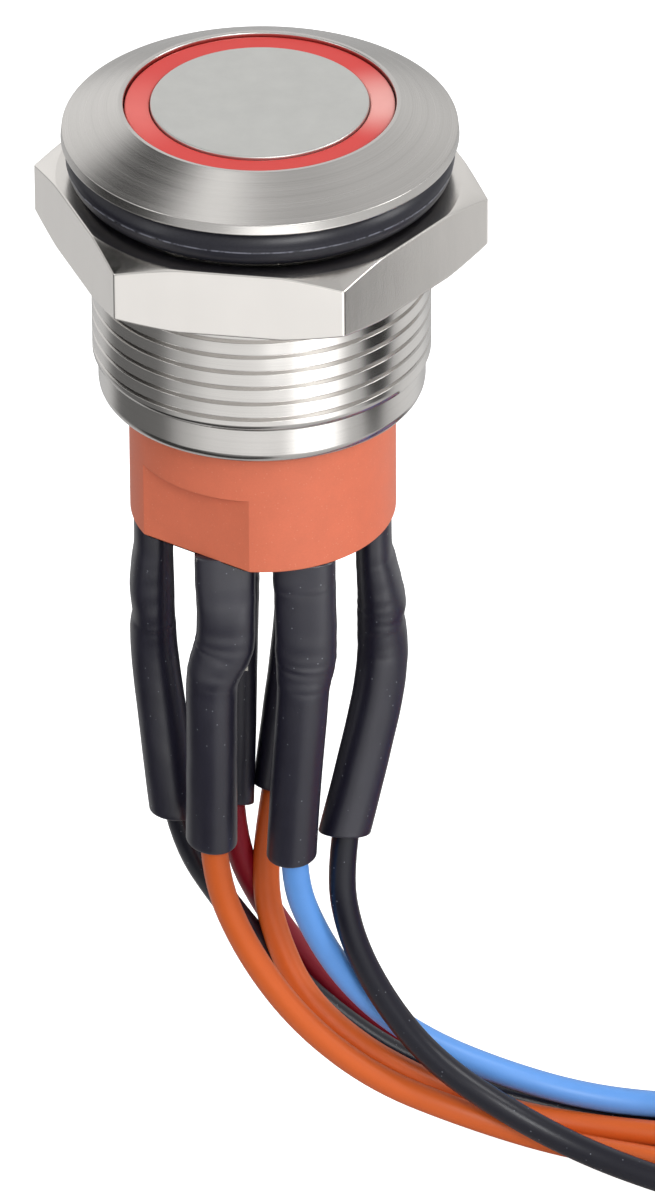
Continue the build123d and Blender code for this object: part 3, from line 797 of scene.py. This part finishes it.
def makeNut(n):
    # Outline in plan: six straight flats joined by small arcs. For each point of it, the section is
    # the flat face, the cone of the chamfer and the side, each moved in by the edge's radius, and
    # arcs of that radius round the places where they meet.
    apothem, edge, corner = n["flats"] / 2, n["edge"], n["cornerEdge"]
    half = (apothem - corner) * np.tan(np.pi / 6)
    along = np.concatenate([[-1, -0.985], np.linspace(-0.95, 0.95, 31), [0.985]]) * half
    bend = np.linspace(-np.pi / 6, np.pi / 6, 7) + np.pi / 6
    sides = []
    for number in range(6):
        face = np.stack([apothem + 0 * along, along], axis=-1)
        arc = np.stack([apothem - corner + corner * np.cos(bend), half + corner * np.sin(bend)], axis=-1)
        a = np.radians(n["turn"] + 30 + 60 * number)
        turn = np.array([[np.cos(a), np.sin(a)], [-np.sin(a), np.cos(a)]])
        sides.append(np.concatenate([face, arc]) @ turn)
    plan = np.concatenate(sides)
    r = np.linalg.norm(plan, axis=1)
    way = plan / r[:, None]
    slope = np.radians(n["chamferSlope"])
    inner = np.minimum(n["chamferRadius"] - edge * np.tan(slope / 2), r - edge)
    drop = np.maximum((r - edge - n["chamferRadius"]) * np.sin(slope) + edge, edge * np.cos(slope))
    drop = np.where(inner < r - edge - 1e-6, drop / np.cos(slope), edge)
    # Upper half of the section, as distances below the top face.
    first = np.linspace(0, 1, 3)[:, None] * slope
    second = slope + np.linspace(0, 1, 5)[:, None] * (np.pi / 2 - slope)
    flat = np.zeros_like(r)
    across = np.concatenate([inner + edge * np.sin(first), r - edge + edge * np.sin(second)])
    below = np.concatenate([edge - edge * np.cos(first) + flat, drop - edge * np.cos(second)])
    bore, mouth = n["bore"], n["bore"] + n["boreChamfer"]
    chamfer = n["boreChamfer"]
    throat = [(bore, chamfer + 0.05), (bore, chamfer), (mouth, 0.02), (mouth + 0.03, 0.0)]
    land = [(mouth + inner) / 2, inner - 0.06]
    across = np.concatenate([[a + flat for a, _ in throat], land, across, [r]])
    below = np.concatenate([[b + flat for _, b in throat], [flat, flat], below, below[-1:] + n["guard"]])
    across = np.concatenate([across, across[::-1]])
    z = np.concatenate([nutTop - below, (nutBottom + below)[::-1]])
    points = np.stack([across * way[:, 0], across * way[:, 1], z], axis=-1)
    return meshFrom("hexagon_nut", points, gridFaces(len(z), len(r), closeRows=True)[:, ::-1])


carry(makeNut(nut), "nut", "nut", "nut_plate", "hex_nut")
print("head, seal and nut made")

# Moulded base with its flat pocket
base = {"cavity": 6.7, "floorTop": -19.0, "bossRadius": 1.45, "bossHeight": 1.4, "pocketTurn": -124.5,
        "pocketChord": 6.55, "pocketTop": -19.2, "edge": 0.10, "wallEdge": 0.2, "floorRound": 0.3,
        "columns": 300}


def makeBase(b):
    # Round wall r = radius, cut below the pocket's top by the plane r = chord / cos(a - turn).
    half = np.arccos(b["pocketChord"] / baseRadius)
    turn = np.radians(b["pocketTurn"])
    edges = turn + np.array([-half, half])
    near = np.concatenate([edges + nudge for nudge in (-0.012, -0.004, 0.0, 0.004, 0.012)])
    angles = np.unique(np.concatenate([np.linspace(-np.pi, np.pi, b["columns"], endpoint=False), near]))
    bossTop = b["floorTop"] + b["bossHeight"]
    outline = roundedLine([
        (0.001, baseBottom, 0), (baseRadius, baseBottom, b["edge"]),
        (baseRadius, baseTop, b["wallEdge"]), (b["cavity"], baseTop, b["wallEdge"]),
        (b["cavity"], b["floorTop"], b["floorRound"]), (b["bossRadius"], b["floorTop"], b["edge"]),
        (b["bossRadius"], bossTop, b["wallEdge"]), (0.001, bossTop, 0),
    ])
    outline[[0, -1], 0] = 0
    line = []
    for number, (r, z) in enumerate(outline[:-1]):
        line.append((r, z))
        if abs(r - baseRadius) < 1e-6 and abs(outline[number + 1][0] - r) < 1e-6:
            high = outline[number + 1][1]
            extra = [b["pocketTop"] + rise for rise in (-0.10, -0.05, -0.02, 0.0, 0.001, 0.03, 0.08)]
            line += [(r, level) for level in extra if z < level < high]
    line.append(tuple(outline[-1]))
    line = np.array(line)
    r, z = line[:, :1], line[:, 1:]
    away = np.angle(np.exp(1j * (angles - turn)))
    wall = np.where(np.abs(away) < np.pi / 3, b["pocketChord"] / np.cos(np.clip(away, -1.2, 1.2)), 99.0)
    # Only the outer wall is cut: the points of the outline before the arc at its top.
    outer = np.arange(len(line)) < np.argmax(line[:, 1]) - 4
    low = (z <= b["pocketTop"]) & outer[:, None]
    step = np.where(low & (r > baseRadius - b["edge"] - 1e-6), r - baseRadius, 0.0)
    shaped = np.where(low, np.minimum(r, wall + step), r)
    return meshFrom("moulded_base", polar(shaped, angles, z), gridFaces(len(line), len(angles)))


carry(makeBase(base), "switch", "base", "base_orange", "switch_housing")

# Heat-shrunk sleeves. Each station is (z, x, y, width across X, width across Y) in millimetres, from the
# base down; the last two lie on the wire's own line.
sleeves = {
    "front_left": {
        "stations": [(-23.87, -2.12, -5.35, 3.42, 1.90), (-25.5, -2.13, -5.50, 3.38, 2.15),
                     (-27.0, -2.10, -5.66, 3.30, 2.42), (-28.7, -2.12, -5.66, 3.30, 2.45),
                     (-29.8, -2.24, -5.66, 3.36, 2.50), (-30.7, -2.55, -5.66, 3.24, 2.60),
                     (-31.6, -2.82, -5.62, 3.04, 2.72), (-32.8, -2.95, -5.50, 2.90, 2.82),
                     (-36.4, -2.98, -5.30, 2.87, 2.88), (-39.6, -3.02, -5.02, 2.90, 2.90),
                     (-43.3, -3.06, -4.66, 2.92, 2.92)],
        "flat": 0.85, "seed": 3, "tilt": 0.06,
    },
    "front_right": {
        "stations": [(-23.87, 2.28, -5.65, 3.52, 2.35), (-25.3, 2.28, -5.65, 3.52, 2.38),
                     (-26.2, 2.32, -5.65, 3.48, 2.42), (-28.6, 2.36, -5.65, 3.46, 2.48),
                     (-30.2, 2.35, -5.65, 3.46, 2.55), (-31.0, 2.33, -5.65, 3.34, 2.62),
                     (-31.9, 2.24, -5.65, 3.12, 2.70), (-32.9, 2.18, -5.62, 2.94, 2.80),
                     (-35.6, 2.00, -5.56, 2.90, 2.86), (-39.4, 1.72, -5.44, 2.86, 2.88),
                     (-43.9, 1.47, -5.33, 2.84, 2.90)],
        "flat": 0.85, "seed": 8, "tilt": -0.04,
    },
    "left": {
        "stations": [(-23.87, -6.18, 0.0, 2.20, 3.45), (-26.3, -6.18, 0.0, 2.22, 3.45),
                     (-27.6, -6.26, 0.0, 2.38, 3.45), (-29.2, -6.30, 0.0, 2.53, 3.45),
                     (-30.9, -6.24, 0.0, 2.42, 3.40), (-31.8, -6.27, 0.0, 2.60, 3.25),
                     (-33.2, -6.24, -0.05, 2.66, 3.05), (-35.0, -6.09, -0.22, 2.72, 2.90),
                     (-37.5, -5.82, -0.48, 2.78, 2.88), (-40.2, -5.55, -0.85, 2.80, 2.88),
                     (-43.55, -5.19, -1.22, 2.84, 2.88)],
        "flat": 0.55, "seed": 5, "tilt": 0.10,
    },
    "right": {
        "stations": [(-23.87, 6.18, 0.0, 2.05, 3.45), (-26.6, 6.20, 0.0, 2.05, 3.45),
                     (-27.7, 6.31, 0.0, 2.28, 3.45), (-29.3, 6.52, 0.0, 2.58, 3.42),
                     (-30.4, 6.62, 0.0, 2.76, 3.38), (-31.3, 6.57, 0.0, 2.68, 3.30),
                     (-32.4, 6.64, 0.0, 2.82, 3.15), (-33.9, 6.66, -0.15, 2.88, 3.00),
                     (-36.0, 6.40, -0.85, 2.90, 2.90), (-39.4, 5.60, -2.05, 2.90, 2.90),
                     (-43.6, 4.48, -3.52, 2.92, 2.92)],
        "flat": 0.55, "seed": 12, "tilt": -0.10,
    },
    "back_left": {
        "stations": [(-23.87, -2.30, 5.65, 3.45, 2.35), (-26.0, -2.30, 5.65, 3.45, 2.38),
                     (-28.5, -2.26, 5.65, 3.42, 2.45), (-30.4, -2.12, 5.65, 3.40, 2.60),
                     (-31.6, -1.95, 5.62, 3.30, 2.72), (-32.8, -1.83, 5.50, 3.10, 2.82),
                     (-34.5, -1.80, 4.98, 2.92, 2.88), (-37.5, -1.88, 3.60, 2.88, 2.88),
                     (-40.5, -1.97, 2.20, 2.90, 2.88), (-44.1, -2.11, 0.63, 2.90, 2.88)],
        "flat": 0.85, "seed": 21, "tilt": 0.05,
    },
    "back_right": {
        "stations": [(-23.87, 2.30, 5.65, 3.45, 2.35), (-26.0, 2.30, 5.65, 3.45, 2.38),
                     (-28.5, 2.30, 5.65, 3.42, 2.45), (-30.6, 2.28, 5.65, 3.35, 2.60),
                     (-31.8, 2.22, 5.62, 3.15, 2.75), (-33.2, 2.10, 5.30, 2.95, 2.85),
                     (-36.5, 1.72, 4.06, 2.88, 2.88), (-40.0, 1.22, 2.82, 2.88, 2.88),
                     (-43.8, 0.69, 1.48, 2.88, 2.88)],
        "flat": 0.85, "seed": 30, "tilt": 0.03,
    },
}
sleeveWall = {"bore": 0.84, "mouth": 0.14, "guard": 0.08, "inside": 1.6, "wrinkle": 0.010,
              "wrinkleTop": 0.010, "waves": 7, "rows": 150, "columns": 72}


def smoothLine(stations, count):
    # A Catmull-Rom curve through the stations, read at count places, equally many between each two.
    rows = np.array(stations, float)
    padded = np.concatenate([[2 * rows[0] - rows[1]], rows, [2 * rows[-1] - rows[-2]]])
    place = np.linspace(0, len(rows) - 1, count)
    cell = np.minimum(place.astype(int), len(rows) - 2)
    t = (place - cell)[:, None]
    a, b, c, d = padded[cell], padded[cell + 1], padded[cell + 2], padded[cell + 3]
    cubic = 2 * b + (c - a) * t + (2 * a - 5 * b + 4 * c - d) * t**2 + (3 * b - a - 3 * c + d) * t**3
    return cubic / 2


def makeSleeve(side, s, wall):
    # Carried section: a rounded oval whose widths follow the stations, on a line through their
    # centres, with shallow wrinkles that fade towards the free end. The free end turns in to the bore.
    line = smoothLine(s["stations"], wall["rows"])
    centre, widths = line[:, [1, 2, 0]], line[:, 3:5]
    along = np.gradient(centre, axis=0)
    along /= np.linalg.norm(along, axis=1)[:, None]
    across = np.array([1.0, 0, 0]) - along * along[:, :1]
    across /= np.linalg.norm(across, axis=1)[:, None]
    deep = np.cross(along, across)
    around = np.linspace(0, 2 * np.pi, wall["columns"], endpoint=False)
    share = np.linspace(0, 1, len(line))[:, None]
    flat = 1 - s["flat"] * 0.32 * (1 - np.clip(share / 0.5, 0, 1) ** 2)
    c, d = np.cos(around)[None, :], np.sin(around)[None, :]
    u, v = np.sign(c) * np.abs(c) ** flat, np.sign(d) * np.abs(d) ** flat
    random = np.random.default_rng(s["seed"])
    ripple, cycle = 0, 6.28
    for _ in range(wall["waves"]):
        count, waves, phase = random.integers(0, 4), random.uniform(4, 15), random.uniform(0, cycle, 2)
        rings = np.sin(count * around[None, :] + phase[0])
        ripple = ripple + rings * np.sin(waves * share * cycle + phase[1])
    # The wrinkles are deepest where the terminal ends, 0.42 of the way down.
    depth = wall["wrinkle"] + wall["wrinkleTop"] * np.exp(-(((share - 0.42) / 0.2) ** 2))
    ripple = 1 + ripple / wall["waves"] * depth
    tilt = s["tilt"] * c * share**8 * widths[:, :1]
    shape = (
        centre[:, None, :]
        + across[:, None, :] * (u * ripple * widths[:, :1] / 2)[..., None]
        + deep[:, None, :] * (v * ripple * widths[:, 1:] / 2)[..., None]
        + along[:, None, :] * tilt[..., None]
    )
    last, end, way = shape[-1], centre[-1], along[-1]
    radial = (last - end) / np.linalg.norm(last - end, axis=1)[:, None]
    rim = []
    for turn in np.linspace(0, np.pi / 2, 5)[1:]:
        inset, out = wall["mouth"] * (1 - np.cos(turn)), wall["mouth"] * np.sin(turn)
        rim.append(last - radial * inset + way * out)
    bore = end + radial * wall["bore"]
    rim += [(rim[-1] + bore + way * wall["mouth"]) / 2, bore + way * wall["mouth"]]
    rim += [bore + way * (wall["mouth"] - wall["guard"]), bore - way * wall["inside"]]
    rim += [end - way * wall["inside"] + 0 * bore]
    top = [centre[0] + 0 * shape[0], (shape[0] + centre[0]) / 2]
    rows = np.concatenate([top, shape, rim])
    faces = gridFaces(len(rows), wall["columns"])
    return meshFrom("shrunk_sleeve_" + side, rows, faces[:, ::-1])


for side, sleeve in sleeves.items():
    piece = makeSleeve(side, sleeve, sleeveWall)
    carry(piece, "switch", "sleeve", "sleeve_black", "sleeve_" + side)
print("base and sleeves made")

# Tinned ends of the leads, past their insulation
bare = {"length": 4.0, "radius": 0.42, "ridge": 0.03, "strands": 7, "twist": 2.2, "tip": 0.3,
        "inside": 0.4, "rows": 26, "columns": 42}


def bareEnd(side, obj):
    # Twisted strands: the radius is the bare one plus the ridge times the cosine of the strands' number
    # times the angle less the twist times the length. The tip is rounded.
    depsgraph = bpy.context.evaluated_depsgraph_get()
    depth, obj.data.bevel_depth = obj.data.bevel_depth, 0
    depsgraph.update()
    mesh = bpy.data.meshes.new_from_object(obj.evaluated_get(depsgraph))
    obj.data.bevel_depth = depth
    line = np.empty(3 * len(mesh.vertices), np.float32)
    mesh.vertices.foreach_get("co", line)
    bpy.data.meshes.remove(mesh)
    line = line.reshape(-1, 3).astype(float) / mm
    end, way = line[-1], line[-1] - line[-2]
    way /= np.linalg.norm(way)
    across = np.cross(way, (0, 0, 1))
    up = np.cross(across, way)
    around = np.linspace(0, 2 * np.pi, bare["columns"], endpoint=False)[None, :]
    length = np.concatenate([[-bare["inside"]], np.linspace(0, bare["length"], bare["rows"])])[:, None]
    radius = bare["radius"] + bare["ridge"] * np.cos(bare["strands"] * around - bare["twist"] * length)
    radius = radius * np.sqrt(1 - np.clip((length - bare["length"]) / bare["tip"] + 1, 0, 1) ** 2)
    radius[0] = 0
    points = (
        end + way * length[..., None] + across * (radius * np.cos(around))[..., None]
        + up * (radius * np.sin(around))[..., None]
    )
    faces = gridFaces(len(length), bare["columns"])
    piece = meshFrom("bare_end_" + side, points, faces[:, ::-1])
    return carry(piece, "switch", "tin", "terminal_brass")


for side, obj in wires.items():
    lead = leads[side]
    replaced = ["wire_" + side] + (["lead_coil"] if side == "right" else [])
    carry(obj, "switch", lead["colour"], lead["slot"], *replaced)
    tinned = bareEnd(side, obj)

# Tie round the coil
tie = {"width": 2.4, "thickness": 0.35, "gap": 0.15, "corner": 0.7, "edge": 0.08,
       "head": (3.0, 3.3, 1.5), "headCorner": 0.4}


def makeTie(t):
    # A flat strap carried round a rounded rectangle that holds the coil's section.
    low, high = coilBottom - t["gap"], coilTop + t["gap"]
    inner, outer = tieLeft + t["thickness"], tieRight - t["thickness"]
    r = t["corner"]
    path = roundedLine([(inner, low, r), (outer, low, r), (outer, high, r), (inner, high, r)])
    step = np.roll(path, -1, axis=0) - np.roll(path, 1, axis=0)
    out = np.stack([step[:, 1], -step[:, 0]], axis=-1)
    out /= np.linalg.norm(out, axis=1)[:, None]
    half, thick, edge = t["width"] / 2, t["thickness"], t["edge"]
    section = roundedLine([(-half, 0, edge), (half, 0, edge), (half, thick, edge), (-half, thick, edge)])
    y = coil["centre"][1] + section[:, 0]
    x = path[:, :1] + out[:, :1] * section[None, :, 1]
    z = path[:, 1:] + out[:, 1:] * section[None, :, 1]
    points = np.stack([x, y + 0 * x, z], axis=-1)
    return meshFrom("coil_strap", points, gridFaces(len(path), len(section), closeRows=True))


def makeTieHead(t):
    # Box with rounded edges: a rounded rectangle carried up, drawn in at both ends.
    sizeX, sizeY, sizeZ = t["head"]
    around = [(-1, -1), (1, -1), (1, 1), (-1, 1)]
    plan = roundedLine([(x * sizeX / 2, y * sizeY / 2, t["headCorner"]) for x, y in around])
    lower = np.array([(0.0, 0), (0.88, 0), (0.96, 0.06), (1, 0.16)])
    levels = np.concatenate([lower, (lower * (1, -1) + (0, 1))[::-1]])
    middle = (tieLeft + tieRight) / 2
    x = middle + plan[None, :, 0] * levels[:, :1]
    y = coil["centre"][1] + plan[None, :, 1] * levels[:, :1]
    z = coilTop + t["gap"] + t["thickness"] / 2 + levels[:, 1:] * sizeZ + 0 * x
    return meshFrom("strap_head", np.stack([x, y, z], axis=-1), gridFaces(len(levels), len(plan)))


carry(makeTie(tie), "switch", "tie", "tie_black", "coil_tie")
carry(makeTieHead(tie), "switch", "tie", "tie_black", "coil_tie")
print("leads coiled and tied")

# Inner solids keep their shape and get their finish.
innerFinish = {
    "plunger": ["plunger"],
    "seal": ["plunger_seal"],
    "spring": ["retaining_clip", "spindle_clip", "contact_spring", "return_spring"],
    "board": ["lamp_board"],
    "chip": ["lamp_chips"],
    "bead": ["lamp_pin_beads"],
    "contact": ["fixed_contacts", "bridge_contacts"],
    "bridge": ["closed_contact_bridge", "open_contact_bridge"],
    "terminal": ["terminal_" + side for side in leads],
}
for material, nodes in innerFinish.items():
    for node in nodes:
        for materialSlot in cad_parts[node].material_slots:
            materialSlot.material = finishes[material]


def makeReturnSpring():
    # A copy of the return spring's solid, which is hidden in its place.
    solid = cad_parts["return_spring"]
    mesh = solid.data.copy()
    mesh.transform(solid.matrix_world)
    obj = bpy.data.objects.new("return_spring_coil", mesh)
    bpy.context.collection.objects.link(obj)
    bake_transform(obj)
    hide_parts("return_spring")


makeReturnSpring()


def makeFloor(s):
    # One large plane. It glows for the camera, so that it reads as white paper, and in pools of painted
    # light for the mirroring metal; its colour holds painted shade in dark spots. From below it isn't
    # seen.
    g = Graph("floorPaper")
    seen = g.node("ShaderNodeLightPath", output="Is Camera Ray")
    mirrored = Signal(g, seen.socket.node.outputs["Is Glossy Ray"])
    x, y, _ = g.split(g.place())

    def spot(centre, full, gone):
        away = ((x - centre[0]) ** 2 + (y - centre[1]) ** 2) ** 0.5
        return 1 - away.smooth(full, gone)

    glow, shade = 0.0, s["floor"]
    for *where, level in s["pools"]:
        glow = spot(*where) * level + glow
    # Painted shade: the floor's colour darkens in each of these spots.
    for *where, level in s["paintedShadeSpots"]:
        mask = spot(*where)
        shade = mask * level + (1 - mask) * shade
    shade = g.node("ShaderNodeCombineColor", {}, {0: shade, 1: shade, 2: shade})
    under = g.node("ShaderNodeNewGeometry", output="Backfacing")
    g.finish(
        Base_Color=shade, Roughness=0.9, Specular_IOR_Level=0.0, Alpha=1 - under,
        Emission_Color=(1.0, 1.0, 1.0), Emission_Strength=seen * s["cameraGlow"] + mirrored * glow,
    )
    half = s["floorHalf"]
    corners = np.array([(-half, -half), (half, -half), (half, half), (-half, half)], float)
    points = np.concatenate([corners, np.full((4, 1), s["floorZ"])], axis=1)
    obj = meshFrom("floor", points, np.array([[0, 1, 2, 3]]))
    obj.data.materials.append(g.material)


makeFloor(studio)
print("scene ready")
